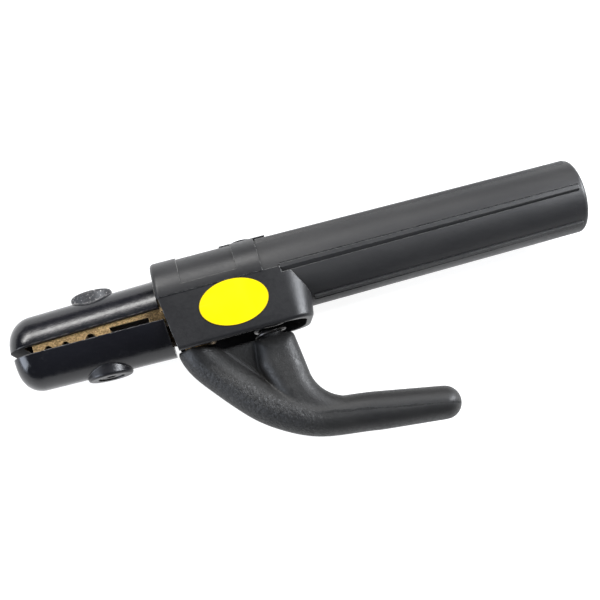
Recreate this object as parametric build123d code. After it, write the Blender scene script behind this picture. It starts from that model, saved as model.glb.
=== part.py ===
from build123d import *
import math
import os

# Electrode holder (welding tongs), fully insulated type.
# Millimetres. +X runs along the handle and out of the cable end, +Y points away from the squeeze lever,
# +Z points out of the side that carries the label. The holder lies on its -Z side.
# The origin is the centre of the cable entry, in the plane of the handle's rear end.

# ---------------------------------------------------------------- driving dimensions
OVERALL_LENGTH = 249.6
NOSE_X = -OVERALL_LENGTH

# handle
HANDLE_FRONT_X = -141.5
HANDLE_CORNER_R_FRONT = 17.04
HANDLE_CORNER_R_REAR = 16.1
HANDLE_FLAT_R_FRONT = 16.78
HANDLE_FLAT_R_REAR = 16.05
HANDLE_INNER_R = 13.6
CABLE_ENTRY_R = 9.0
CABLE_ENTRY_LENGTH = 16.0
HANDLE_END_LENGTH = 6.0
HANDLE_END_ROUND = 2.0
SPIGOT_R = 15.2
SPIGOT_FRONT_X = -153.0
SPIGOT_NOTCH_Y = -10.0
SPIGOT_NOTCH_REAR_X = -131.0
FACET_COUNT = 6
RIB_WIDTH = 1.6
RIB_HEIGHT = 0.6
RIB_SINK = 1.4
RIB_SLOPE = 0.25
RIB_REAR_X = -3.0
RIB_FRONT_XS = {30.0: -140.8, 90.0: -134.0, 150.0: -123.0}
GUTTER_WIDTH_FRONT = 1.7
GUTTER_WIDTH_REAR = 0.9
GUTTER_DEPTH = 0.8
SEAM_WIDTH = 0.3
SEAM_DEPTH = 0.35

# housing
HOUSING_FRONT_X = -186.3
COLLAR_REAR_X = -141.56
TONGUE_REAR_X = -136.2
TONGUE_HALF_ANGLE = 21
COLLAR_R = 18.0
COLLAR_INNER_R = 15.4
COLLAR_EDGE_ROUND = 1.8
HOUSING_HALF_WIDTH = 17.6
HOUSING_WALL = 2.6
HOUSING_BOTTOM_Y = -22.8
HOUSING_SIDE_FRONT_X = -185.7
HOUSING_FRONT_SLANT = 3.1
HOUSING_EDGE_ROUND = 1.5
REAR_CORNER_X = -134.0
REAR_TOP_X = -121.1
REAR_BOTTOM_X = -125.7
CAVITY_CORNER_X = -137.5
RIB_CLEAR_Y = -2.7
HANDLE_CLEAR_R = 17.2
PANEL_FRONT_X = -175.0
PANEL_REAR_X = -151.5
PANEL_DEPTH = 0.6
PANEL_ANGLES = (14, 79)
FAR_PANEL_ANGLES = (-40, 14)
FAR_PANEL_SETBACK = 4.5
LABEL_CENTRE = (-156.2, -9.55)
LABEL_HALF_LENGTH = 14.4
LABEL_HALF_HEIGHT = 9.5
LABEL_THICKNESS = 0.3

# jaws
JAW_AXIS_Y = -6.1
JAW_TILT = 1.3
SHELL_R = 15.5
SHELL_INNER_R = 11.8
SHELL_NOSE_WALL = 6.6
UPPER_NOSE_ROUND = 10.5
LOWER_NOSE_ROUND = 9.0
LOWER_SHELL_REAR_X = -186.0
LOWER_SHELL_REAR_SLANT = 1.3
SHELL_FIT_GAP = 0.1
LOWER_SHELL_SETBACK = 1.0
UPPER_SHELL_EDGE = 1.3
LOWER_EDGE_AT_NOSE = -1.9
LOWER_EDGE_AT_REAR = -0.9
BOSS_X = -212.6
UPPER_BOSS_R = 8.7
LOWER_BOSS_R = 9.4
UPPER_BOSS_REACH = 17.9
LOWER_BOSS_REACH = 17.1
BOSS_SEAT = 13.4
BOSS_HOLE_R = 5.6
BOSS_EDGE_ROUND = 1.2
SHELL_SCREW_R = 3.0
SHELL_SCREW_HEAD_R = 5.0
SHELL_SCREW_HEAD_HEIGHT = 2.4
SHELL_SCREW_TIP = 5.5
WASHER_THICKNESS = 0.8
WASHER_R = 5.4
JAW_R = 11.6
JAW_FRONT_X = -239.5
GRIP_FACE_Y = -7.85
GRIP_TILT = 0.35
GRIP_GAP = 0.3
JAW_ROOT_X = -185.0
GROOVES = ((-233.6, 1.9), (-226.5, 1.9), (-216.2, 2.4))
RELIEF_X = (-208.0, -191.5)
RELIEF_DEPTH = 2.6

# pivot and lever
PIVOT = (-172.0, -14.0)
PIN_R = 3.0
PIN_HALF_LENGTH = 13.6
RUNNING_CLEARANCE = 0.05
HUB_R = 7.5
HUB_HALF_WIDTH = 6.0
EAR_INNER_Z = 6.3
EAR_OUTER_Z = 12.0
EAR_R = 7.0
RING_R = 5.2
RING_THICKNESS = 0.8
ARM_WIDTH = 9.0
ARM_HALF_DEPTH = 4.0
ARM_CLEARANCE = 0.1
LEVER_HALF_THICKNESS = 8.0
GRIP_END_HALF_THICKNESS = 7.0
LEVER_HALF_DEPTH = 9.0
LEVER_TOP_Y = -22.0
POST_HALF_DEPTH = 8.0
POST_TOP_Y = -25.0
POST_EDGE_ROUND = 6.5
WEB_HALF_DEPTH = 2.5
WEB_TOP_Y = -24.9
LEVER_PATH = (
    (-175.2, -14.0),
    (-175.2, -24.5),
    (-168.9, -34.5),
    (-160.5, -44.7),
    (-154.2, -51.3),
    (-145.3, -57.7),
    (-135.0, -62.6),
    (-124.3, -64.8),
    (-109.2, -67.0),
)
GRIP_END = (-81.9, -71.2)
COVER_SCREW_XY = (-160.5, -44.7)
COVER_SCREW_R = 2.0
COVER_SCREW_TIP_Z = 2.4
COVER_SCREW_SEAT_Z = -6.4
COVER_SCREW_HEAD_R = 3.8
COVER_SCREW_HEAD_HEIGHT = 2.0

# spring
SPRING_X = -144.2
SPRING_MEAN_R = 6.1
SPRING_WIRE_R = 0.75
SPRING_SEAT_Y = -10.5
SPRING_PITCH = 3.6
SPRING_SEAT_R = 8.0
SPRING_STUB_R = 4.4
SPRING_STUB_HEIGHT = 3.0

# brass tail and cable clamp
ROOT_R = 15.2
ROOT_BOTTOM_Y = -5.0
SHOULDER_R = 13.2
TAIL_R = 11.5
TAIL_REAR_X = -92.0
SOCKET_R = 6.0
SOCKET_DEPTH = 38.0
PLATE_HALF_WIDTH = 3.2
PLATE_THICKNESS = 0.9
PLATE_X = (-126.0, -98.0)
POCKET_TOP_Y = 7.2
CLAMP_SCREW_XS = {"front": -119.0, "rear": -105.0}
CLAMP_SCREW_R = 3.0
CLAMP_SCREW_LENGTH = 6.0
HANDLE_SCREW_X = -146.6
HANDLE_SCREW_R = 2.5
HANDLE_SCREW_HEAD_R = 4.5
HANDLE_SCREW_HEAD_HEIGHT = 2.0
HANDLE_SCREW_TOP_Y = 17.9
HANDLE_SCREW_LENGTH = 11.9

SIX_SECTORS = [30.0 + 60.0 * k for k in range(FACET_COUNT)]


# ---------------------------------------------------------------- shape helpers
def block(x_low, x_high, y_low, y_high, z_low, z_high):
    centre = ((x_low + x_high) / 2, (y_low + y_high) / 2, (z_low + z_high) / 2)
    return Pos(*centre) * Box(x_high - x_low, y_high - y_low, z_high - z_low)


def rod_x(radius, x_low, x_high, y=0.0, z=0.0):
    return Pos((x_low + x_high) / 2, y, z) * Rot(0, 90, 0) * Cylinder(radius, x_high - x_low)


def rod_y(radius, y_low, y_high, x=0.0, z=0.0):
    return Pos(x, (y_low + y_high) / 2, z) * Rot(90, 0, 0) * Cylinder(radius, y_high - y_low)


def rod_z(radius, z_low, z_high, x=0.0, y=0.0):
    return Pos(x, y, (z_low + z_high) / 2) * Cylinder(radius, z_high - z_low)


def slab(points, half_depth):
    outline = make_face(Polyline(*points, close=True))
    return extrude(outline, half_depth, both=True)


def around_axis(radius, angle):
    """A point of the YZ section: angle 0 is +Y and 90 is +Z."""
    turn = math.radians(angle)
    return (radius * math.cos(turn), radius * math.sin(turn))


def section_point(x, radius, angle):
    y, z = around_axis(radius, angle)
    return (x, y, z)


# ---------------------------------------------------------------- handle
def facet_section(x, corner_r, flat_r):
    edges = []
    for angle in SIX_SECTORS:
        start = section_point(x, corner_r, angle)
        middle = section_point(x, flat_r, angle + 30)
        end = section_point(x, corner_r, angle + 60)
        edges.append(ThreePointArc(start, middle, end))
    return make_face(edges)


def rib_point(x, corner_r, across, rise):
    """A point by the corner at angle 90: across is measured towards +Y, rise outwards from the corner."""
    return (x, across, corner_r + rise)


def rib_section(x, corner_r, gutter):
    """Raised strip: a steep side above it, and a wide slope below it, down to the gutter's floor."""
    half = RIB_WIDTH / 2
    points = [
        rib_point(x, corner_r, -half - gutter, -RIB_SINK),
        rib_point(x, corner_r, -half - gutter, -GUTTER_DEPTH),
        rib_point(x, corner_r, -half, RIB_HEIGHT),
        rib_point(x, corner_r, half, RIB_HEIGHT),
        rib_point(x, corner_r, half + RIB_SLOPE, -SEAM_DEPTH),
        rib_point(x, corner_r, half + RIB_SLOPE, -RIB_SINK),
    ]
    return make_face(Polyline(*points, close=True))


def gutter_section(x, corner_r, gutter):
    half = RIB_WIDTH / 2
    points = [
        rib_point(x, corner_r, -half - gutter, RIB_SINK),
        rib_point(x, corner_r, -half - gutter, -GUTTER_DEPTH),
        rib_point(x, corner_r, 0, -GUTTER_DEPTH),
        rib_point(x, corner_r, 0, -SEAM_DEPTH),
        rib_point(x, corner_r, half + RIB_SLOPE + SEAM_WIDTH, -SEAM_DEPTH),
        rib_point(x, corner_r, half + RIB_SLOPE + SEAM_WIDTH, RIB_SINK),
    ]
    return make_face(Polyline(*points, close=True))


def handle_taper(front, rear, x):
    share = (x - HANDLE_FRONT_X) / (0 - HANDLE_FRONT_X)
    return front + (rear - front) * share


def rib_loft(section, angle, front_x):
    sections = []
    for x in (front_x, RIB_REAR_X):
        corner = handle_taper(HANDLE_CORNER_R_FRONT, HANDLE_CORNER_R_REAR, x)
        gutter = handle_taper(GUTTER_WIDTH_FRONT, GUTTER_WIDTH_REAR, x)
        sections.append(section(x, corner, gutter))
    return Rot(angle - 90, 0, 0) * loft(sections)


def make_handle_tube():
    end_x = -HANDLE_END_LENGTH
    front = facet_section(HANDLE_FRONT_X, HANDLE_CORNER_R_FRONT, HANDLE_FLAT_R_FRONT)
    corner = handle_taper(HANDLE_CORNER_R_FRONT, HANDLE_CORNER_R_REAR, end_x)
    flat = handle_taper(HANDLE_FLAT_R_FRONT, HANDLE_FLAT_R_REAR, end_x)
    rear = facet_section(end_x, corner, flat)
    tube = loft([front, rear])
    end = rod_x(HANDLE_CORNER_R_REAR, end_x, 0)
    end = fillet(end.edges().sort_by(Axis.X)[-1], HANDLE_END_ROUND)
    tube += end
    for angle, front_x in RIB_FRONT_XS.items():
        gutter = rib_loft(gutter_section, angle, front_x)
        rib = rib_loft(rib_section, angle, front_x)
        tube -= gutter
        tube -= mirror(gutter, Plane.XY)
        tube += rib
        tube += mirror(rib, Plane.XY)
    tube += rod_x(SPIGOT_R, SPIGOT_FRONT_X, HANDLE_FRONT_X)
    tube -= rod_x(HANDLE_INNER_R, SPIGOT_FRONT_X - 1, -CABLE_ENTRY_LENGTH)
    tube -= rod_x(CABLE_ENTRY_R, -CABLE_ENTRY_LENGTH - 1, 1)
    tube -= block(SPIGOT_FRONT_X - 1, SPIGOT_NOTCH_REAR_X, -20, SPIGOT_NOTCH_Y, -20, 20)
    tube -= rod_y(HANDLE_SCREW_R + 0.1, 10, 20, HANDLE_SCREW_X)
    return tube


# ---------------------------------------------------------------- housing
def handle_screw_head(clearance):
    """Countersunk head, grown by the clearance for its seat."""
    low_r = HANDLE_SCREW_R + clearance
    high_r = HANDLE_SCREW_HEAD_R + clearance
    height = HANDLE_SCREW_HEAD_HEIGHT + clearance
    centre_y = HANDLE_SCREW_TOP_Y - HANDLE_SCREW_HEAD_HEIGHT + height / 2
    return Pos(HANDLE_SCREW_X, centre_y, 0) * Rot(-90, 0, 0) * Cone(low_r, high_r, height)


def ring_sector(r_inner, r_outer, x_low, x_high, angle_low, angle_high):
    outline = [
        Line(around_axis(r_inner, angle_low), around_axis(r_outer, angle_low)),
        ThreePointArc(
            around_axis(r_outer, angle_low),
            around_axis(r_outer, (angle_low + angle_high) / 2),
            around_axis(r_outer, angle_high),
        ),
        Line(around_axis(r_outer, angle_high), around_axis(r_inner, angle_high)),
        ThreePointArc(
            around_axis(r_inner, angle_high),
            around_axis(r_inner, (angle_low + angle_high) / 2),
            around_axis(r_inner, angle_low),
        ),
    ]
    across = Plane(origin=(x_low, 0, 0), x_dir=(0, 1, 0), z_dir=(1, 0, 0))
    return extrude(across * make_face(outline), x_high - x_low)


def plan_section(y, front_x, corner_x, wall):
    """Outline of the housing at one height: square in front, rounded corners at the rear."""
    share = y / HOUSING_BOTTOM_Y
    rear_x = REAR_TOP_X + (REAR_BOTTOM_X - REAR_TOP_X) * share - wall
    half = HOUSING_HALF_WIDTH - wall
    corner = rear_x - corner_x
    middle_x = corner_x + corner * math.sqrt(0.5)
    middle_z = half - corner * (1 - math.sqrt(0.5))
    edges = [
        Line((front_x, y, -half), (front_x, y, half)),
        Line((front_x, y, half), (corner_x, y, half)),
        ThreePointArc((corner_x, y, half), (middle_x, y, middle_z), (rear_x, y, half - corner)),
        Line((rear_x, y, half - corner), (rear_x, y, corner - half)),
        ThreePointArc((rear_x, y, corner - half), (middle_x, y, -middle_z), (corner_x, y, -half)),
        Line((corner_x, y, -half), (front_x, y, -half)),
    ]
    return make_face(edges)


def make_housing_body():
    front_low_x = HOUSING_SIDE_FRONT_X + HOUSING_FRONT_SLANT
    top = plan_section(0, HOUSING_SIDE_FRONT_X, REAR_CORNER_X, 0)
    bottom = plan_section(HOUSING_BOTTOM_Y, front_low_x, REAR_CORNER_X, 0)
    body = loft([top, bottom])
    rim = [e for e in body.edges().group_by(Axis.Y)[0] if e.center().X > front_low_x + 1]
    return fillet(rim, HOUSING_EDGE_ROUND)


def make_housing():
    collar = rod_x(COLLAR_R, HOUSING_FRONT_X, COLLAR_REAR_X)
    collar = fillet(collar.edges().filter_by(GeomType.CIRCLE).sort_by(Axis.X)[0], COLLAR_EDGE_ROUND)
    collar -= block(HOUSING_FRONT_X - 5, COLLAR_REAR_X + 5, -30, 0, -30, 30)
    body = make_housing_body() + collar
    cavity_front_x = HOUSING_FRONT_X - 5
    cavity_top = plan_section(0, cavity_front_x, CAVITY_CORNER_X, HOUSING_WALL)
    cavity_bottom = plan_section(HOUSING_BOTTOM_Y - 1, cavity_front_x, CAVITY_CORNER_X, HOUSING_WALL)
    body -= loft([cavity_top, cavity_bottom])
    body -= rod_x(COLLAR_INNER_R, cavity_front_x, COLLAR_REAR_X + 1)
    body -= rod_x(HANDLE_CLEAR_R, COLLAR_REAR_X, COLLAR_REAR_X + 40)
    body -= block(REAR_CORNER_X - 0.3, COLLAR_REAR_X + 40, RIB_CLEAR_Y, 1, -30, 30)
    body += ring_sector(
        HANDLE_CLEAR_R, COLLAR_R, COLLAR_REAR_X - 1, TONGUE_REAR_X, -TONGUE_HALF_ANGLE, TONGUE_HALF_ANGLE
    )
    panel_floor_r = COLLAR_R - PANEL_DEPTH
    far_rear_x = PANEL_REAR_X - FAR_PANEL_SETBACK
    body -= ring_sector(panel_floor_r, COLLAR_R + 2, PANEL_FRONT_X, PANEL_REAR_X, *PANEL_ANGLES)
    body -= ring_sector(panel_floor_r, COLLAR_R + 2, PANEL_FRONT_X, far_rear_x, *FAR_PANEL_ANGLES)
    body -= rod_y(HANDLE_SCREW_R + 0.15, 10, 20, HANDLE_SCREW_X)
    body -= handle_screw_head(0.15)
    return body


def make_label():
    disc = extrude(Ellipse(LABEL_HALF_LENGTH, LABEL_HALF_HEIGHT), LABEL_THICKNESS)
    return Pos(LABEL_CENTRE[0], LABEL_CENTRE[1], HOUSING_HALF_WIDTH) * disc


# ---------------------------------------------------------------- jaw insulators
# The jaws are drawn along a local axis through the nose and then tilted apart towards the housing.
def place_jaw(shape, side):
    return Pos(NOSE_X, JAW_AXIS_Y, 0) * Rot(0, 0, JAW_TILT * side) * Pos(-NOSE_X, 0, 0) * shape


def make_shell(side):
    upper = side > 0
    nose_x = NOSE_X if upper else NOSE_X + LOWER_SHELL_SETBACK
    rear_x = HOUSING_FRONT_X + 3
    shell = rod_x(SHELL_R, nose_x, rear_x)
    nose_edge = shell.edges().filter_by(GeomType.CIRCLE).sort_by(Axis.X)[0]
    shell = fillet(nose_edge, UPPER_NOSE_ROUND if upper else LOWER_NOSE_ROUND)
    boss_r = UPPER_BOSS_R if upper else LOWER_BOSS_R
    boss_reach = UPPER_BOSS_REACH if upper else LOWER_BOSS_REACH
    boss = rod_y(boss_r, 0, boss_reach, BOSS_X)
    boss = fillet(boss.edges().filter_by(GeomType.CIRCLE).sort_by(Axis.Y)[-1], BOSS_EDGE_ROUND)
    if not upper:
        boss = mirror(boss, Plane.XZ)
    shell += boss
    shell -= rod_x(SHELL_INNER_R, nose_x + SHELL_NOSE_WALL, rear_x + 5)
    if upper:
        shell -= block(NOSE_X - 5, rear_x + 5, -40, UPPER_SHELL_EDGE, -30, 30)
        shell -= rod_y(BOSS_HOLE_R, BOSS_SEAT, 40, BOSS_X)
        shell -= rod_y(SHELL_SCREW_R + 0.2, 5, 40, BOSS_X)
    else:
        low_edge = [(NOSE_X, LOWER_EDGE_AT_NOSE), (rear_x, LOWER_EDGE_AT_REAR)]
        shell -= slab([*low_edge, (rear_x, 40), (NOSE_X, 40)], 30)
        shell -= rod_y(BOSS_HOLE_R, -40, -BOSS_SEAT, BOSS_X)
        shell -= rod_y(SHELL_SCREW_R + 0.2, -40, -5, BOSS_X)
    shell = place_jaw(shell, side)
    if upper:
        return shell - block(HOUSING_FRONT_X - SHELL_FIT_GAP, HOUSING_FRONT_X + 5, -40, 40, -30, 30)
    rear_low_x = LOWER_SHELL_REAR_X + LOWER_SHELL_REAR_SLANT
    end_x = LOWER_SHELL_REAR_X + 10
    rear_edge = [(LOWER_SHELL_REAR_X, 0), (rear_low_x, HOUSING_BOTTOM_Y), (rear_low_x, -40)]
    return shell - slab([*rear_edge, (end_x, -40), (end_x, 10), (LOWER_SHELL_REAR_X, 10)], 30)


def hex_socket(across_flats, depth, top_y, x):
    outline = RegularPolygon(across_flats / 2, 6, major_radius=False)
    return Pos(x, top_y, 0) * Rot(90, 0, 0) * extrude(outline, depth)


def make_shell_screw(side):
    head_low = BOSS_SEAT + WASHER_THICKNESS
    head_high = head_low + SHELL_SCREW_HEAD_HEIGHT
    shank = rod_y(SHELL_SCREW_R, SHELL_SCREW_TIP, head_low, BOSS_X)
    head = rod_y(SHELL_SCREW_HEAD_R, head_low, head_high, BOSS_X)
    head = fillet(head.edges().filter_by(GeomType.CIRCLE).sort_by(Axis.Y)[-1], 0.5)
    screw = shank + head - hex_socket(4.0, 1.6, head_high, BOSS_X)
    if side < 0:
        screw = mirror(screw, Plane.XZ)
    return place_jaw(screw, side)


def make_shell_washer(side):
    washer = rod_y(WASHER_R, BOSS_SEAT, BOSS_SEAT + WASHER_THICKNESS, BOSS_X)
    washer -= rod_y(SHELL_SCREW_R + 0.15, 0, 40, BOSS_X)
    if side < 0:
        washer = mirror(washer, Plane.XZ)
    return place_jaw(washer, side)


# ---------------------------------------------------------------- brass castings
# The grip faces meet along a plane through (NOSE_X, GRIP_FACE_Y) that falls by GRIP_TILT to the housing.
def place_grip(shape):
    return Pos(NOSE_X, GRIP_FACE_Y, 0) * Rot(0, 0, -GRIP_TILT) * Pos(-NOSE_X, 0, 0) * shape


def cut_grooves(jaw):
    for groove_x, groove_r in GROOVES:
        jaw -= place_grip(rod_z(groove_r, -30, 30, groove_x, -GRIP_GAP / 2))
    return jaw


def make_fixed_jaw():
    bar = rod_x(JAW_R, JAW_FRONT_X, -183)
    bar -= rod_y(SHELL_SCREW_R + RUNNING_CLEARANCE, SHELL_SCREW_TIP - 0.5, 40, BOSS_X)
    bar = place_jaw(bar, 1)
    bar -= place_grip(block(NOSE_X - 5, -170, -40, 0, -30, 30))
    bar = cut_grooves(bar)
    bar -= place_grip(block(*RELIEF_X, -1, RELIEF_DEPTH, -30, 30))
    root = rod_x(ROOT_R, HOUSING_FRONT_X + 0.3, -158)
    root -= block(-200, -150, -40, ROOT_BOTTOM_Y, -30, 30)
    bar -= block(JAW_ROOT_X, -170, -40, ROOT_BOTTOM_Y, -30, 30)
    casting = bar + root + rod_x(SHOULDER_R, -158, -138) + rod_x(TAIL_R, -138, TAIL_REAR_X)
    for side in (-1, 1):
        inner = EAR_INNER_Z * side
        outer = EAR_OUTER_Z * side
        low, high = min(inner, outer), max(inner, outer)
        ear = block(PIVOT[0] - EAR_R, PIVOT[0] + EAR_R, PIVOT[1], ROOT_BOTTOM_Y + 1, low, high)
        ear += rod_z(EAR_R, low, high, *PIVOT)
        casting += ear
    casting -= rod_z(PIN_R + RUNNING_CLEARANCE, -30, 30, *PIVOT)
    casting -= rod_y(SPRING_SEAT_R, -30, SPRING_SEAT_Y, SPRING_X)
    casting -= rod_x(SOCKET_R, TAIL_REAR_X - SOCKET_DEPTH, TAIL_REAR_X + 5)
    casting -= block(
        PLATE_X[0] - 1, TAIL_REAR_X + 5, 0, POCKET_TOP_Y, -PLATE_HALF_WIDTH - 0.1, PLATE_HALF_WIDTH + 0.1
    )
    for screw_x in CLAMP_SCREW_XS.values():
        casting -= rod_y(CLAMP_SCREW_R + RUNNING_CLEARANCE, POCKET_TOP_Y - 1, 20, screw_x)
    casting -= rod_y(HANDLE_SCREW_R + RUNNING_CLEARANCE, 5, 20, HANDLE_SCREW_X)
    return casting


def arm_sweep(width, half_depth):
    path = Spline(*LEVER_PATH)
    across = Plane(origin=path @ 0, x_dir=(0, 0, 1), z_dir=path % 0)
    return sweep(across * Rectangle(2 * half_depth, width), path)


def make_lever_casting():
    bar = rod_x(JAW_R, JAW_FRONT_X, -187)
    bar -= rod_y(SHELL_SCREW_R + RUNNING_CLEARANCE, -40, -SHELL_SCREW_TIP + 0.5, BOSS_X)
    bar = place_jaw(bar, -1)
    bar -= place_grip(block(NOSE_X - 5, -170, -GRIP_GAP, 40, -30, 30))
    bar = cut_grooves(bar)
    neck_outline = [(-189, -10.2), (-172, -10.2), (-172, -20.0), (-189, -16.5)]
    casting = bar + slab(neck_outline, HUB_HALF_WIDTH)
    casting += rod_z(HUB_R, -HUB_HALF_WIDTH, HUB_HALF_WIDTH, *PIVOT)
    casting += arm_sweep(ARM_WIDTH, ARM_HALF_DEPTH)
    casting -= rod_z(PIN_R + RUNNING_CLEARANCE, -30, 30, *PIVOT)
    casting -= rod_z(COVER_SCREW_R + RUNNING_CLEARANCE, -30, COVER_SCREW_TIP_Z + 0.2, *COVER_SCREW_XY)
    return casting


# ---------------------------------------------------------------- pivot
def make_pivot_pin():
    pin = rod_z(PIN_R, -PIN_HALF_LENGTH, PIN_HALF_LENGTH, *PIVOT)
    for side in (-1, 1):
        centre = side * (EAR_OUTER_Z + 0.1 + RING_THICKNESS / 2)
        half = RING_THICKNESS / 2 + 0.05
        groove = rod_z(PIN_R + 1, centre - half, centre + half, *PIVOT)
        groove -= rod_z(PIN_R - 0.5, centre - half, centre + half, *PIVOT)
        pin -= groove
    return pin


def make_retaining_rings():
    rings = []
    for side in (-1, 1):
        centre = side * (EAR_OUTER_Z + 0.1 + RING_THICKNESS / 2)
        low, high = centre - RING_THICKNESS / 2, centre + RING_THICKNESS / 2
        ring = rod_z(RING_R, low, high, *PIVOT) - rod_z(PIN_R - 0.45, low, high, *PIVOT)
        mouth = block(PIVOT[0], PIVOT[0] + RING_R, PIVOT[1] - 1.6, PIVOT[1] + 1.6, low, high)
        rings.append(ring - mouth)
    return Compound(children=rings)


# ---------------------------------------------------------------- lever cover
def make_lever_post():
    """Upright behind the front arm: it carries the spring and flares into the top of the grip."""
    top_left, top_right = (-151.6, POST_TOP_Y), (-137.0, POST_TOP_Y)
    shoulder, shoulder_middle = (-135.0, POST_TOP_Y - 2.0), (-135.6, POST_TOP_Y - 0.6)
    waist, flare_middle, flare_end = (-133.3, -42.5), (-131.0, -50.2), (-123.0, -56.8)
    root = [(-123.0, -64.0), (-142.0, -59.5), (-149.5, -48.5), (-152.9, -36.5)]
    top_edge = Line(top_left, top_right)
    round_edge = ThreePointArc(top_right, shoulder_middle, shoulder)
    rear_edge = Line(shoulder, waist)
    flare = ThreePointArc(waist, flare_middle, flare_end)
    root_edges = Polyline(flare_end, *root).edges()
    front_edge = Line(root[-1], top_left)
    outline = [top_edge, round_edge, rear_edge, flare, *root_edges, front_edge]
    post = extrude(make_face(outline), POST_HALF_DEPTH, both=True)
    rounded = []
    for edge in post.edges():
        middle = edge.center()
        level = abs(abs(middle.Z) - POST_HALF_DEPTH) < 0.01
        on_rear = middle.X > -136 and middle.Y > -58
        on_front = middle.X < -151 and middle.Y > -45
        if level and middle.Y < POST_TOP_Y - 3 and (on_rear or on_front):
            rounded.append(edge)
    return fillet(rounded, POST_EDGE_ROUND)


def make_lever_cover():
    path = Spline(*LEVER_PATH)
    across = Plane(origin=path @ 0, x_dir=(0, 0, 1), z_dir=path % 0)
    cover = sweep(across * Ellipse(LEVER_HALF_DEPTH, LEVER_HALF_THICKNESS), path)
    along = path % 1
    grip_start = Plane(origin=path @ 1, x_dir=(0, 0, 1), z_dir=along)
    grip_end = Plane(origin=GRIP_END, x_dir=(0, 0, 1), z_dir=along)
    start_outline = grip_start * Ellipse(LEVER_HALF_DEPTH, LEVER_HALF_THICKNESS)
    end_outline = grip_end * Ellipse(LEVER_HALF_DEPTH, GRIP_END_HALF_THICKNESS)
    cover += loft([start_outline, end_outline])
    tip = scale(Sphere(GRIP_END_HALF_THICKNESS), by=(LEVER_HALF_DEPTH / GRIP_END_HALF_THICKNESS, 1, 1))
    cover += grip_end * tip
    cover += make_lever_post()
    cover += slab([(-168, WEB_TOP_Y), (-150, WEB_TOP_Y), (-145, -50), (-156, -52)], WEB_HALF_DEPTH)
    cover -= block(-200, -150, LEVER_TOP_Y, 0, -30, 30)
    cover += rod_y(SPRING_STUB_R, POST_TOP_Y - 0.5, POST_TOP_Y + SPRING_STUB_HEIGHT, SPRING_X)
    cover -= arm_sweep(ARM_WIDTH + 2 * ARM_CLEARANCE, ARM_HALF_DEPTH + ARM_CLEARANCE)
    cover -= rod_z(COVER_SCREW_HEAD_R + 0.3, -30, COVER_SCREW_SEAT_Z, *COVER_SCREW_XY)
    cover -= rod_z(COVER_SCREW_R + 0.2, -10, 0, *COVER_SCREW_XY)
    return cover


def make_cover_screw():
    x, y = COVER_SCREW_XY
    head_z = COVER_SCREW_SEAT_Z - COVER_SCREW_HEAD_HEIGHT
    head = rod_z(COVER_SCREW_HEAD_R, head_z, COVER_SCREW_SEAT_Z, x, y)
    slot = block(x - 5, x + 5, y - 0.5, y + 0.5, head_z - 1, head_z + 0.9)
    return head - slot + rod_z(COVER_SCREW_R, COVER_SCREW_SEAT_Z, COVER_SCREW_TIP_Z, x, y)


# ---------------------------------------------------------------- spring
def make_spring():
    low = POST_TOP_Y + SPRING_WIRE_R + 0.1
    high = SPRING_SEAT_Y - SPRING_WIRE_R - 0.1
    coil = Helix(SPRING_PITCH, high - low, SPRING_MEAN_R)
    start = Plane(origin=coil @ 0, z_dir=coil % 0)
    wire = sweep(start * Circle(SPRING_WIRE_R), coil, is_frenet=True)
    return Pos(SPRING_X, low, 0) * Rot(-90, 0, 0) * wire


# ---------------------------------------------------------------- cable clamp and handle screw
def make_clamp_plate():
    plate = block(
        PLATE_X[0], PLATE_X[1], POCKET_TOP_Y - 0.1 - PLATE_THICKNESS, POCKET_TOP_Y - 0.1,
        -PLATE_HALF_WIDTH, PLATE_HALF_WIDTH,
    )
    return plate


def make_clamp_screw(x):
    low = POCKET_TOP_Y
    high = low + CLAMP_SCREW_LENGTH
    screw = rod_y(CLAMP_SCREW_R, low, high, x)
    return screw - hex_socket(3.0, 2.6, high, x)


def make_handle_screw():
    tip_y = HANDLE_SCREW_TOP_Y - HANDLE_SCREW_LENGTH
    shank = rod_y(HANDLE_SCREW_R, tip_y, HANDLE_SCREW_TOP_Y - HANDLE_SCREW_HEAD_HEIGHT, HANDLE_SCREW_X)
    slot_floor_y = HANDLE_SCREW_TOP_Y - 0.9
    slot = block(HANDLE_SCREW_X - 6, HANDLE_SCREW_X + 6, slot_floor_y, slot_floor_y + 2, -0.6, 0.6)
    return shank + handle_screw_head(0) - slot


def build_nodes():
    nodes = {
        "handle_tube": make_handle_tube(),
        "housing": make_housing(),
        "label": make_label(),
        "upper_jaw_insulator": make_shell(1),
        "lower_jaw_insulator": make_shell(-1),
        "upper_insulator_screw": make_shell_screw(1),
        "lower_insulator_screw": make_shell_screw(-1),
        "upper_screw_washer": make_shell_washer(1),
        "lower_screw_washer": make_shell_washer(-1),
        "fixed_jaw": make_fixed_jaw(),
        "lever_casting": make_lever_casting(),
        "pivot_pin": make_pivot_pin(),
        "retaining_rings": make_retaining_rings(),
        "lever_cover": make_lever_cover(),
        "lever_cover_screw": make_cover_screw(),
        "compression_spring": make_spring(),
        "clamp_plate": make_clamp_plate(),
        "handle_screw": make_handle_screw(),
    }
    for name, screw_x in CLAMP_SCREW_XS.items():
        nodes[name + "_clamp_screw"] = make_clamp_screw(screw_x)
    return nodes


def main():
    os.makedirs("parts", exist_ok=True)
    for name, shape in build_nodes().items():
        export_step(shape, "parts/" + name + ".step")


main()
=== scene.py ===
import math

import bpy
from mathutils import Matrix, Vector


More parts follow.
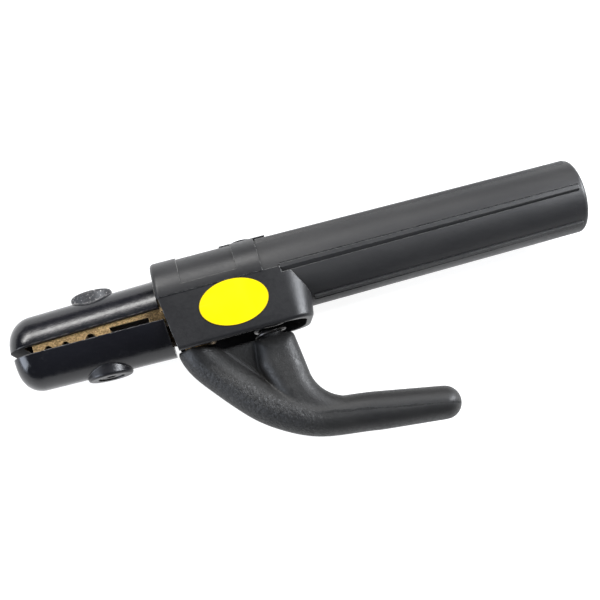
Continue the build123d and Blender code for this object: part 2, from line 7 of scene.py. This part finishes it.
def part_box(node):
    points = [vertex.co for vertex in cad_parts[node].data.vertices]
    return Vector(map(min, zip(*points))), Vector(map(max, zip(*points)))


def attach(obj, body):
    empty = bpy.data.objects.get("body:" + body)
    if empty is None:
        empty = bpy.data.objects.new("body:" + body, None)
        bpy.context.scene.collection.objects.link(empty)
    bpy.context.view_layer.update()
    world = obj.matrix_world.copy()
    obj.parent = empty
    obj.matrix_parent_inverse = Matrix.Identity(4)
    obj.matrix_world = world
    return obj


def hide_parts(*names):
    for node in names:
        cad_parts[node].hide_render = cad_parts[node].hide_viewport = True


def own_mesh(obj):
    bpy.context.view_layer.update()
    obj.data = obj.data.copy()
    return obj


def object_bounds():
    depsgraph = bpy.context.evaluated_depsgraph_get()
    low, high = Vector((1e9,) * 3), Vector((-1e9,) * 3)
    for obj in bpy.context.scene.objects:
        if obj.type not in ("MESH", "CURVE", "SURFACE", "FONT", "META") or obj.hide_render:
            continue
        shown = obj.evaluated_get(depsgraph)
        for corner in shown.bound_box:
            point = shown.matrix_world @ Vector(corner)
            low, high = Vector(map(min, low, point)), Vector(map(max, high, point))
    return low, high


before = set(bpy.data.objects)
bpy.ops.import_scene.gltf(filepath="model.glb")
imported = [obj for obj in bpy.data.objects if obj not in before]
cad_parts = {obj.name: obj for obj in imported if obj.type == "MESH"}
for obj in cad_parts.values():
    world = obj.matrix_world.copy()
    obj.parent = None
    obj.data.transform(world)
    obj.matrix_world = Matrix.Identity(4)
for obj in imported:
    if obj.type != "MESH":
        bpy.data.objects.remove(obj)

MM = 0.001
CAD_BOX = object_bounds()

# ---------------------------------------------------------------- jaws
# The bosses, the faces where the two shells meet (painted near black as shade), and the brass painted dark as
# shade in the jaw and in the gap before the housing.
BOSS_X = -212.9 * MM
BOSS_R = 9.1 * MM
SPLIT_LOW_Y = -16 * MM
SPLIT_HIGH_Y = 2 * MM
# Toward the nose from x = -190 mm the brass's ±Y faces are painted dark as shade; near the housing the brass
# is painted dark as shade except around y = -6.4 mm.
SLOT_SHADE_REAR_X = -190 * MM
UNSHADED_STRIP_Y = -6.4 * MM
GAP_SHADE_FROM_X = (-187.4 * MM, -186.6 * MM)
GAP_SHADE_LOW_Y = -21 * MM

# ---------------------------------------------------------------- lever grip
# Remeshing, and the swelling that gives back what the smoothing takes away.
GRIP_VOXEL = 0.5 * MM
GRIP_ROUNDS = 16
SMOOTH_FACTOR = 0.6
SMOOTH_SHRINK = 0.14 * MM
# Unit vector out of the arm's lower side, and how far along it the wrinkles set in.
ARM_OUTWARD = (-0.614, -0.789)
WRINKLES_FROM = (129 * MM, 135 * MM)
# The parting line starts here and falls towards the grip's end.
SEAM_FROM = (-136.0 * MM, -61.2 * MM)
SEAM_SLOPE = -0.20

# ---------------------------------------------------------------- spring
SPRING_TURNS = 4.6
SPRING_START_DEG = 172
SPRING_STEPS = 30
WIRE_SIDES = 14
WIRE_R = 0.75 * MM
SPRING_MEAN_R = 6.1 * MM
SPRING_X = -144.2 * MM

# ---------------------------------------------------------------- studio
FLOOR_GLOW = 0.92
FLOOR_GAP = 0.2 * MM
FLOOR_HALF = 2.5
LIGHT_TARGET = Vector((-0.13, -0.02, 0.0))
WORLD_COLOUR = (0.95, 0.97, 1.0, 1.0)
WORLD_STRENGTH = 0.15

# ---------------------------------------------------------------- camera of the reference view
CAMERA_AT = Vector((-0.16729, -0.08411, 0.41524))
CAMERA_RIGHT = Vector((0.96119, -0.27248, 0.04311))
CAMERA_FORWARD = Vector((0.09165, 0.16799, -0.98152))
CAMERA_LENS = 59.71
SENSOR = 36.0

# ---------------------------------------------------------------- colours (linear)
NYLON = (0.0105, 0.0105, 0.0112)
NYLON_LIGHT = (0.0165, 0.0162, 0.0165)
HOUSING_NYLON = (0.0068, 0.0068, 0.0076)
HOUSING_NYLON_LIGHT = (0.0110, 0.0110, 0.0118)
LEVER_NYLON = (0.0066, 0.0065, 0.0066)
LEVER_NYLON_LIGHT = (0.0112, 0.0110, 0.0106)
JAW_BLACK = (0.0022, 0.0023, 0.0036)
JAW_BLACK_LIGHT = (0.0048, 0.0050, 0.0070)
BRASS = (0.68, 0.45, 0.20)
BRASS_DARK = (0.20, 0.125, 0.050)
STEEL = (0.30, 0.30, 0.32)
STEEL_DARK = (0.075, 0.075, 0.08)
COPPER = (0.60, 0.27, 0.14)
YELLOW = (0.74, 0.54, 0.0005)


# ---------------------------------------------------------------- node helpers
class Mat:
    """A material being built, with short helpers for its nodes."""

    def __init__(self, name):
        self.mat = bpy.data.materials.new(name)
        self.mat.use_nodes = True
        self.tree = self.mat.node_tree
        self.shader = self.tree.nodes["Principled BSDF"]
        self.coords = self.tree.nodes.new("ShaderNodeTexCoord").outputs["Object"]

    def node(self, kind, **settings):
        made = self.tree.nodes.new(kind)
        for key, value in settings.items():
            setattr(made, key, value)
        return made

    def put(self, socket, value):
        if isinstance(value, bpy.types.NodeSocket):
            self.tree.links.new(value, socket)
        elif isinstance(value, tuple) and len(value) == 3 and socket.type == "RGBA":
            socket.default_value = (*value, 1.0)
        else:
            socket.default_value = value

    def stretched(self, sx, sy, sz):
        node = self.node("ShaderNodeMapping")
        self.put(node.inputs["Vector"], self.coords)
        node.inputs["Scale"].default_value = (sx, sy, sz)
        return node.outputs["Vector"]

    def noise(self, scale, detail=3.0, rough=0.55, vector=None, distortion=0.0):
        node = self.node("ShaderNodeTexNoise")
        self.put(node.inputs["Vector"], vector or self.coords)
        node.inputs["Scale"].default_value = scale
        node.inputs["Detail"].default_value = detail
        node.inputs["Roughness"].default_value = rough
        node.inputs["Distortion"].default_value = distortion
        return node.outputs["Fac"]

    def cells(self, scale, feature="F1", vector=None):
        node = self.node("ShaderNodeTexVoronoi", feature=feature)
        self.put(node.inputs["Vector"], vector or self.coords)
        node.inputs["Scale"].default_value = scale
        return node.outputs["Distance"]

    def ramp(self, value, low, high, out_low=0.0, out_high=1.0):
        node = self.node("ShaderNodeMapRange", interpolation_type="SMOOTHSTEP")
        self.put(node.inputs["Value"], value)
        node.inputs["From Min"].default_value = low
        node.inputs["From Max"].default_value = high
        node.inputs["To Min"].default_value = out_low
        node.inputs["To Max"].default_value = out_high
        return node.outputs["Result"]

    def math(self, operation, a, b=0.0):
        node = self.node("ShaderNodeMath", operation=operation)
        self.put(node.inputs[0], a)
        self.put(node.inputs[1], b)
        return node.outputs[0]

    def times(self, a, b):
        return self.math("MULTIPLY", a, b)

    def plus(self, a, b):
        return self.math("ADD", a, b)

    def minus(self, a, b):
        return self.math("SUBTRACT", a, b)

    def radius(self, a, b):
        """Length of the vector (a, b)."""
        squares = [self.math("POWER", self.math("ABSOLUTE", value), 2.0) for value in (a, b)]
        return self.math("SQRT", self.plus(*squares))

    def level_faces(self, low, high):
        """1 on faces that look along +Y or -Y."""
        normal = self.node("ShaderNodeNewGeometry").outputs["True Normal"]
        return self.ramp(self.math("ABSOLUTE", self.axis(1, normal)), low, high)

    def mix(self, factor, a, b):
        node = self.node("ShaderNodeMix", data_type="RGBA")
        self.put(node.inputs["Factor"], factor)
        self.put(node.inputs[6], a)
        self.put(node.inputs[7], b)
        return node.outputs[2]

    def axis(self, which, source=None):
        node = self.node("ShaderNodeSeparateXYZ")
        self.put(node.inputs[0], source or self.coords)
        return node.outputs[which]

    def soft_normal(self, radius):
        """Normal with the hard edges rounded over this radius."""
        node = self.node("ShaderNodeBevel", samples=6)
        node.inputs["Radius"].default_value = radius
        return node.outputs["Normal"]

    def edge_mask(self, soft, low=0.004, high=0.09):
        """1 along hard edges, 0 on open faces."""
        geometry = self.node("ShaderNodeNewGeometry")
        dot = self.node("ShaderNodeVectorMath", operation="DOT_PRODUCT")
        self.put(dot.inputs[0], geometry.outputs["Normal"])
        self.put(dot.inputs[1], soft)
        turned = self.math("SUBTRACT", 1.0, dot.outputs["Value"])
        return self.ramp(turned, low, high)

    def bump(self, height, strength, distance, normal=None):
        node = self.node("ShaderNodeBump")
        self.put(node.inputs["Strength"], strength)
        node.inputs["Distance"].default_value = distance
        self.put(node.inputs["Height"], height)
        if normal is not None:
            self.put(node.inputs["Normal"], normal)
        return node.outputs["Normal"]

    def finish(self, colour, rough, normal, metallic=0.0, specular=0.5):
        s = self.shader.inputs
        self.put(s["Base Color"], colour)
        self.put(s["Roughness"], rough)
        self.put(s["Normal"], normal)
        s["Metallic"].default_value = metallic
        s["Specular IOR Level"].default_value = specular
        return self.mat


# ---------------------------------------------------------------- materials
def nylon(name, dark, light, rough_low, rough_high, edge_wear_and_highlight):
    """Glass-filled nylon: fine mould grain, faint clouds along the handle, scuffs, and paler edges that are
    partly wear and partly a painted highlight.
    """
    m = Mat(name)
    flow = m.noise(60, 4, 0.6, m.stretched(0.35, 1.0, 1.0))
    cloud = m.noise(22, 3, 0.5)
    grain = m.noise(2600, 2, 0.6)
    coarse = m.noise(700, 3, 0.6)
    scuff_field = m.noise(330, 4, 0.75, m.stretched(0.18, 1.0, 1.0), 0.4)
    scuffs = m.ramp(scuff_field, 0.66, 0.78)
    soft = m.soft_normal(0.35 * MM)
    edges = m.edge_mask(soft)
    # Paler edges: partly wear, partly a painted highlight along the rounded edges.
    wear_and_highlight = m.times(edges, m.ramp(coarse, 0.35, 0.62))
    colour = m.mix(m.ramp(flow, 0.3, 0.7), dark, light)
    colour = m.mix(m.times(scuffs, 0.30), colour, (0.05, 0.05, 0.05))
    # Painted edge highlight mixed with wear.
    colour = m.mix(m.times(wear_and_highlight, edge_wear_and_highlight), colour, (0.13, 0.13, 0.125))
    blotch = m.plus(m.times(cloud, 0.6), m.times(coarse, 0.4))
    rough = m.ramp(blotch, 0.35, 0.65, rough_low, rough_high)
    rough = m.minus(rough, m.times(wear_and_highlight, 0.12))
    n = m.bump(grain, 0.40, 0.06 * MM, soft)
    n = m.bump(coarse, 0.26, 0.12 * MM, n)
    return m.finish(colour, rough, n, specular=0.34)


def jaw_thermoset():
    """Glossy black moulding, rubbed and finely scratched, with dull grainy bosses, pale edges that are partly
    chips and partly a painted highlight, and split faces painted near black as shade.
    """
    m = Mat("jaw_thermoset")
    pits = m.ramp(m.cells(1250), 0.10, 0.30)
    mottle = m.noise(420, 5, 0.7)
    cloud = m.noise(45, 3, 0.5)
    drag = m.noise(1500, 3, 0.6, m.stretched(0.10, 1.0, 1.0))
    grit = m.noise(1100, 3, 0.7)
    specks = m.ramp(grit, 0.58, 0.66)
    rubbed = m.ramp(m.noise(150, 5, 0.72), 0.58, 0.74)
    reach = m.radius(m.minus(m.axis(0), BOSS_X), m.axis(2))
    on_boss = m.ramp(reach, BOSS_R + 0.8 * MM, BOSS_R + 0.5 * MM)
    dull = m.times(on_boss, m.ramp(m.axis(1), -1 * MM, 1 * MM, 0.6, 1.0))
    pale = m.ramp(dull, 0.6, 1.0)
    # The faces where the shells meet are painted near black as shade.
    split_shade = m.times(m.level_faces(0.85, 0.95), m.ramp(m.axis(1), SPLIT_LOW_Y, SPLIT_LOW_Y + 1 * MM))
    split_shade = m.times(split_shade, m.ramp(m.axis(1), SPLIT_HIGH_Y, SPLIT_HIGH_Y - 1 * MM))
    soft = m.soft_normal(0.45 * MM)
    edges = m.edge_mask(m.soft_normal(0.8 * MM))
    # Paler edges: partly chips and wear, partly a painted highlight; weaker on the lower shell, below about y
    # = 0.
    wear_and_highlight = m.times(edges, m.ramp(mottle, 0.42, 0.62))
    wear_and_highlight = m.times(wear_and_highlight, m.ramp(m.axis(1), -0.3 * MM, 0.6 * MM, 0.3, 1.0))
    colour = m.mix(m.ramp(cloud, 0.3, 0.7), JAW_BLACK, JAW_BLACK_LIGHT)
    colour = m.mix(m.times(rubbed, 0.35), colour, (0.020, 0.021, 0.024))
    colour = m.mix(m.times(pale, 0.8), colour, (0.026, 0.026, 0.028))
    # Painted shade on the split faces.
    colour = m.mix(split_shade, colour, (0.0012, 0.0012, 0.0014))
    speck_share = m.plus(m.times(pale, 0.8), 0.012)
    colour = m.mix(m.times(specks, speck_share), colour, (0.30, 0.29, 0.28))
    # Painted edge highlight mixed with wear.
    colour = m.mix(m.times(wear_and_highlight, 0.7), colour, (0.34, 0.33, 0.32))
    rough = m.ramp(mottle, 0.3, 0.7, 0.12, 0.24)
    rough = m.plus(rough, m.times(rubbed, 0.06))
    rough = m.plus(rough, m.times(dull, 0.32))
    rough = m.plus(rough, m.times(split_shade, 0.5))
    n = m.bump(mottle, 0.45, 0.14 * MM, soft)
    n = m.bump(pits, 0.25, 0.05 * MM, n)
    n = m.bump(grit, m.plus(m.times(dull, 0.5), 0.14), 0.10 * MM, n)
    n = m.bump(drag, 0.16, 0.03 * MM, n)
    return m.finish(colour, rough, n, specular=0.38)


def lever_moulding():
    """Leather-like moulded grain, coarse and wrinkled on the lower outer side, with a rough parting line."""
    m = Mat("lever_moulding")
    x, y = m.axis(0), m.axis(1)
    across = m.plus(m.times(x, ARM_OUTWARD[0]), m.times(y, ARM_OUTWARD[1]))
    outer = m.ramp(across, *WRINKLES_FROM, 0.10, 1.0)
    wrinkled = m.times(outer, m.ramp(x, -0.125, -0.145, 0.15, 1.0))
    creases = m.noise(760, 4, 0.62, m.stretched(1.0, 0.75, 1.0), 0.8)
    folds = m.cells(900, "SMOOTH_F1", m.stretched(1.0, 0.7, 1.0))
    grain = m.noise(1500, 3, 0.65)
    cloud = m.noise(30, 3, 0.5)
    rubbed = m.ramp(m.noise(120, 5, 0.7, m.stretched(0.5, 1.0, 1.0)), 0.58, 0.72)
    wobble = m.times(m.minus(m.noise(160, 4, 0.7), 0.5), 2.4 * MM)
    slope = m.times(m.minus(x, SEAM_FROM[0]), SEAM_SLOPE)
    off = m.minus(m.minus(y, SEAM_FROM[1]), m.plus(slope, wobble))
    width = m.ramp(m.noise(90, 3, 0.6, m.stretched(1.0, 0.1, 0.1)), 0.35, 0.65, 0.10 * MM, 0.55 * MM)
    line = m.math("LESS_THAN", m.math("ABSOLUTE", off), width)
    line = m.times(line, m.ramp(x, SEAM_FROM[0] - 4 * MM, SEAM_FROM[0] + 6 * MM))
    line = m.times(line, m.ramp(m.axis(2), 4 * MM, 7 * MM))
    colour = m.mix(m.ramp(cloud, 0.3, 0.7), LEVER_NYLON, LEVER_NYLON_LIGHT)
    colour = m.mix(m.times(rubbed, 0.3), colour, (0.030, 0.030, 0.029))
    colour = m.mix(m.times(line, 0.9), colour, (0.003, 0.003, 0.003))
    rough = m.ramp(creases, 0.3, 0.7, 0.44, 0.60)
    rough = m.plus(rough, m.times(line, 0.3))
    coarse = m.times(m.plus(creases, m.times(folds, 0.6)), wrinkled)
    n = m.bump(coarse, 0.85, 0.60 * MM)
    n = m.bump(creases, 0.32, 0.16 * MM, n)
    n = m.bump(grain, 0.60, 0.12 * MM, n)
    n = m.bump(m.minus(1.0, line), 0.5, 0.15 * MM, n)
    return m.finish(colour, rough, n, specular=0.38)


def cast_brass():
    """Sand-cast brass: grainy skin, dull brown in the hollows, brighter specks on the high spots. Painted
    shade: the ±Y faces of the jaw and its slot, and the brass in the gap before the housing, are darkened
    nearly to black.
    """
    m = Mat("cast_brass")
    skin = m.noise(1700, 4, 0.75)
    lumps = m.noise(420, 4, 0.6)
    stain = m.noise(70, 4, 0.6)
    soft = m.soft_normal(0.3 * MM)
    # Painted shade: faces along ±Y in the jaw and its slot.
    painted_shade = m.times(m.level_faces(0.80, 0.95), m.ramp(m.axis(0), SLOT_SHADE_REAR_X, SLOT_SHADE_REAR_X - 2 * MM))
    strip = m.math("ABSOLUTE", m.minus(m.axis(1), UNSHADED_STRIP_Y))
    # Painted shade in the gap before the housing, all but a strip around y = -6.4 mm.
    gap_shade = m.times(m.ramp(m.axis(0), *GAP_SHADE_FROM_X), m.ramp(strip, 2.2 * MM, 3.4 * MM))
    gap_shade = m.times(gap_shade, m.ramp(m.axis(1), GAP_SHADE_LOW_Y, GAP_SHADE_LOW_Y + 1 * MM))
    painted_shade = m.math("MAXIMUM", painted_shade, m.times(gap_shade, 0.92))
    edges = m.edge_mask(soft)
    colour = m.mix(m.ramp(skin, 0.40, 0.66), BRASS_DARK, BRASS)
    colour = m.mix(m.ramp(stain, 0.52, 0.72, 0.0, 0.45), colour, (0.20, 0.13, 0.06))
    colour = m.mix(m.times(edges, 0.6), colour, (0.80, 0.60, 0.32))
    # Painted shade: the masked brass is darkened nearly to black.
    colour = m.mix(m.times(painted_shade, 0.96), colour, (0.010, 0.007, 0.005))
    rough = m.plus(m.ramp(skin, 0.3, 0.7, 0.62, 0.42), m.times(painted_shade, 0.4))
    n = m.bump(skin, 0.7, 0.22 * MM, soft)
    n = m.bump(lumps, 0.35, 0.30 * MM, n)
    return m.finish(colour, rough, n, metallic=0.4)


def metal(name, base, rough_low, rough_high, grime, turned=(1.0, 1.0, 1.0)):
    """Machined or drawn metal: tool lines, stains and bright rubbed edges."""
    m = Mat(name)
    lines = m.noise(1500, 3, 0.6, m.stretched(*turned))
    stain = m.noise(240, 4, 0.65)
    soft = m.soft_normal(0.15 * MM)
    edges = m.edge_mask(soft)
    colour = m.mix(m.ramp(stain, 0.45, 0.70), base, grime)
    bright = tuple(min(1.0, c * 1.8) for c in base)
    colour = m.mix(m.times(edges, 0.6), colour, bright)
    rough = m.ramp(stain, 0.3, 0.7, rough_low, rough_high)
    n = m.bump(lines, 0.25, 0.03 * MM, soft)
    return m.finish(colour, rough, n, metallic=0.95)


def label_film():
    """Blank printed film: slight print mottle, faint scratches and a thin dark cut edge."""
    m = Mat("label_film")
    low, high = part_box("label")
    centre = (low + high) / 2
    half = (high - low) / 2
    x = m.math("DIVIDE", m.minus(m.axis(0), centre.x), half.x)
    y = m.math("DIVIDE", m.minus(m.axis(1), centre.y), half.y)
    rim = m.ramp(m.radius(x, y), 0.965, 0.99)
    mottle = m.noise(1400, 3, 0.6)
    dull = m.noise(90, 3, 0.6)
    scratch = m.ramp(m.noise(900, 2, 0.6, m.stretched(0.05, 1.0, 1.0)), 0.68, 0.76)
    colour = m.mix(m.ramp(mottle, 0.3, 0.7), YELLOW, (0.71, 0.515, 0.001))
    colour = m.mix(m.times(scratch, 0.10), colour, (0.85, 0.70, 0.20))
    colour = m.mix(m.times(rim, 0.75), colour, (0.16, 0.13, 0.01))
    rough = m.ramp(dull, 0.3, 0.7, 0.30, 0.42)
    n = m.bump(mottle, 0.05, 0.03 * MM)
    return m.finish(colour, rough, n, specular=0.15)


def floor_paper():
    m = Mat("floor_paper")
    fibre = m.noise(300, 3, 0.5)
    colour = m.mix(fibre, (0.24, 0.24, 0.24), (0.26, 0.26, 0.26))
    m.shader.inputs["Emission Color"].default_value = (1.0, 1.0, 1.0, 1.0)
    m.shader.inputs["Emission Strength"].default_value = FLOOR_GLOW
    return m.finish(colour, 0.9, m.bump(fibre, 0.02, 0.05 * MM), specular=0.1)


# ---------------------------------------------------------------- pieces
def give(node, material):
    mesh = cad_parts[node].data
    mesh.materials.clear()
    mesh.materials.append(material)


def new_mesh(name, verts, faces, smooth=True):
    mesh = bpy.data.meshes.new(name)
    mesh.from_pydata(verts, [], faces)
    mesh.update()
    obj = bpy.data.objects.new(name, mesh)
    bpy.context.scene.collection.objects.link(obj)
    for polygon in mesh.polygons:
        polygon.use_smooth = smooth
    return obj


def build_spring():
    low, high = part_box("compression_spring")
    bottom, top = low.y + WIRE_R, high.y - WIRE_R
    count = int(SPRING_TURNS * SPRING_STEPS) + 1
    verts, faces = [], []
    for i in range(count):
        turn = i / SPRING_STEPS
        angle = -math.radians(SPRING_START_DEG + 360 * turn)
        y = bottom + (top - bottom) * turn / SPRING_TURNS
        centre = Vector((SPRING_X + SPRING_MEAN_R * math.cos(angle), y, SPRING_MEAN_R * math.sin(angle)))
        outward = Vector((math.cos(angle), 0, math.sin(angle)))
        for k in range(WIRE_SIDES):
            a = 2 * math.pi * k / WIRE_SIDES
            verts.append(centre + (outward * math.cos(a) + Vector((0, 1, 0)) * math.sin(a)) * WIRE_R)
    for i in range(count - 1):
        for k in range(WIRE_SIDES):
            k2 = (k + 1) % WIRE_SIDES
            a, b = i * WIRE_SIDES, (i + 1) * WIRE_SIDES
            faces.append((a + k, a + k2, b + k2, b + k))
    faces.append(tuple(reversed(range(WIRE_SIDES))))
    last = (count - 1) * WIRE_SIDES
    faces.append(tuple(last + k for k in range(WIRE_SIDES)))
    return new_mesh("spring_wire", verts, faces)


def smooth_copy(node, name, voxel, rounds):
    """A remeshed copy of a moulded node with its sharp inner corners flowed together, kept inside its box."""
    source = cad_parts[node]
    low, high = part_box(node)
    obj = bpy.data.objects.new(name, source.data.copy())
    bpy.context.scene.collection.objects.link(obj)
    remesh = obj.modifiers.new("remesh", "REMESH")
    remesh.mode = "VOXEL"
    remesh.voxel_size = voxel
    smooth = obj.modifiers.new("smooth", "SMOOTH")
    smooth.factor = SMOOTH_FACTOR
    smooth.iterations = rounds
    swell = obj.modifiers.new("swell", "DISPLACE")
    swell.mid_level = 0.0
    swell.strength = SMOOTH_SHRINK
    graph = bpy.context.evaluated_depsgraph_get()
    mesh = bpy.data.meshes.new_from_object(obj.evaluated_get(graph))
    obj.modifiers.clear()
    obj.data = mesh
    for vertex in mesh.vertices:
        for i in range(3):
            vertex.co[i] = min(max(vertex.co[i], low[i]), high[i])
    for polygon in mesh.polygons:
        polygon.use_smooth = True
    return obj


# ---------------------------------------------------------------- object
# The last argument sets how strong the pale edges are (wear and painted highlight).
satin = nylon("handle_satin", NYLON, NYLON_LIGHT, 0.42, 0.54, 0.45)
housing_satin = nylon("housing_satin", HOUSING_NYLON, HOUSING_NYLON_LIGHT, 0.36, 0.47, 0.85)
jaw_black = jaw_thermoset()
brass = cast_brass()
oxide = metal("black_oxide", STEEL_DARK, 0.34, 0.5, (0.05, 0.045, 0.04))
ground = metal("ground_steel", STEEL, 0.28, 0.42, (0.16, 0.15, 0.14))
wire = metal("spring_wire_steel", (0.085, 0.082, 0.080), 0.34, 0.50, (0.04, 0.035, 0.03))
copper = metal("rolled_copper", COPPER, 0.3, 0.45, (0.30, 0.13, 0.07), (0.1, 1.0, 1.0))
lever_black = lever_moulding()

MATERIAL_OF = {
    "handle_tube": satin,
    "housing": housing_satin,
    "label": label_film(),
    "upper_jaw_insulator": jaw_black,
    "lower_jaw_insulator": jaw_black,
    "upper_insulator_screw": oxide,
    "lower_insulator_screw": oxide,
    "upper_screw_washer": ground,
    "lower_screw_washer": ground,
    "fixed_jaw": brass,
    "lever_casting": brass,
    "pivot_pin": ground,
    "retaining_rings": wire,
    "lever_cover": lever_black,
    "lever_cover_screw": oxide,
    "compression_spring": wire,
    "clamp_plate": copper,
    "front_clamp_screw": oxide,
    "rear_clamp_screw": oxide,
    "handle_screw": oxide,
}
for node_name, node_material in MATERIAL_OF.items():
    give(node_name, node_material)

spring = build_spring()
spring.data.materials.append(wire)
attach(spring, "holder")
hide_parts("compression_spring")
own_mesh(spring)

grip = smooth_copy("lever_cover", "lever_grip", GRIP_VOXEL, GRIP_ROUNDS)
grip.data.materials.clear()
grip.data.materials.append(lever_black)
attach(grip, "lever")
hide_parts("lever_cover")

# ---------------------------------------------------------------- studio
def build_floor():
    level = CAD_BOX[0].z - FLOOR_GAP
    middle = (CAD_BOX[0] + CAD_BOX[1]) / 2
    corners = ((-1, -1), (1, -1), (1, 1), (-1, 1))
    verts = [(middle.x + sx * FLOOR_HALF, middle.y + sy * FLOOR_HALF, level) for sx, sy in corners]
    floor = new_mesh("floor", verts, [(0, 1, 2, 3)], smooth=False)
    floor.data.materials.append(floor_paper())


def area_light(name, place, size, watts, colour):
    light = bpy.data.lights.new(name, "AREA")
    light.shape = "RECTANGLE"
    light.size, light.size_y = size
    light.energy = watts
    light.color = colour
    obj = bpy.data.objects.new(name, light)
    bpy.context.scene.collection.objects.link(obj)
    obj.location = LIGHT_TARGET + Vector(place)
    obj.rotation_mode = "QUATERNION"
    obj.rotation_quaternion = (-Vector(place)).to_track_quat("-Z", "Y")


def build_camera():
    data = bpy.data.cameras.new("camera")
    data.lens = CAMERA_LENS
    data.sensor_width = SENSOR
    data.clip_start = 0.01
    data.clip_end = 20
    forward = CAMERA_FORWARD.normalized()
    right = (CAMERA_RIGHT - CAMERA_RIGHT.dot(forward) * forward).normalized()
    up = right.cross(forward)
    camera = bpy.data.objects.new("camera", data)
    camera.matrix_world = Matrix((
        (right.x, up.x, -forward.x, CAMERA_AT.x),
        (right.y, up.y, -forward.y, CAMERA_AT.y),
        (right.z, up.z, -forward.z, CAMERA_AT.z),
        (0, 0, 0, 1),
    ))
    bpy.context.scene.collection.objects.link(camera)
    bpy.context.scene.camera = camera


def build_world():
    world = bpy.data.worlds.new("studio")
    world.use_nodes = True
    background = world.node_tree.nodes["Background"]
    background.inputs["Color"].default_value = WORLD_COLOUR
    background.inputs["Strength"].default_value = WORLD_STRENGTH
    bpy.context.scene.world = world


build_floor()
build_world()
build_camera()
area_light("key", (0.0, 0.80, 0.62), (1.7, 0.60), 5.8, (0.99, 0.99, 1.0))
area_light("strip", (-0.30, 0.80, 0.66), (1.1, 0.20), 12.5, (1.0, 0.99, 0.97))
area_light("left", (-0.95, -0.20, 0.38), (0.60, 0.60), 11.0, (0.80, 0.87, 1.0))
area_light("right", (0.60, 0.08, 0.40), (0.12, 0.45), 13.0, (0.92, 0.95, 1.0))
bpy.context.scene.view_settings.view_transform = "Standard"
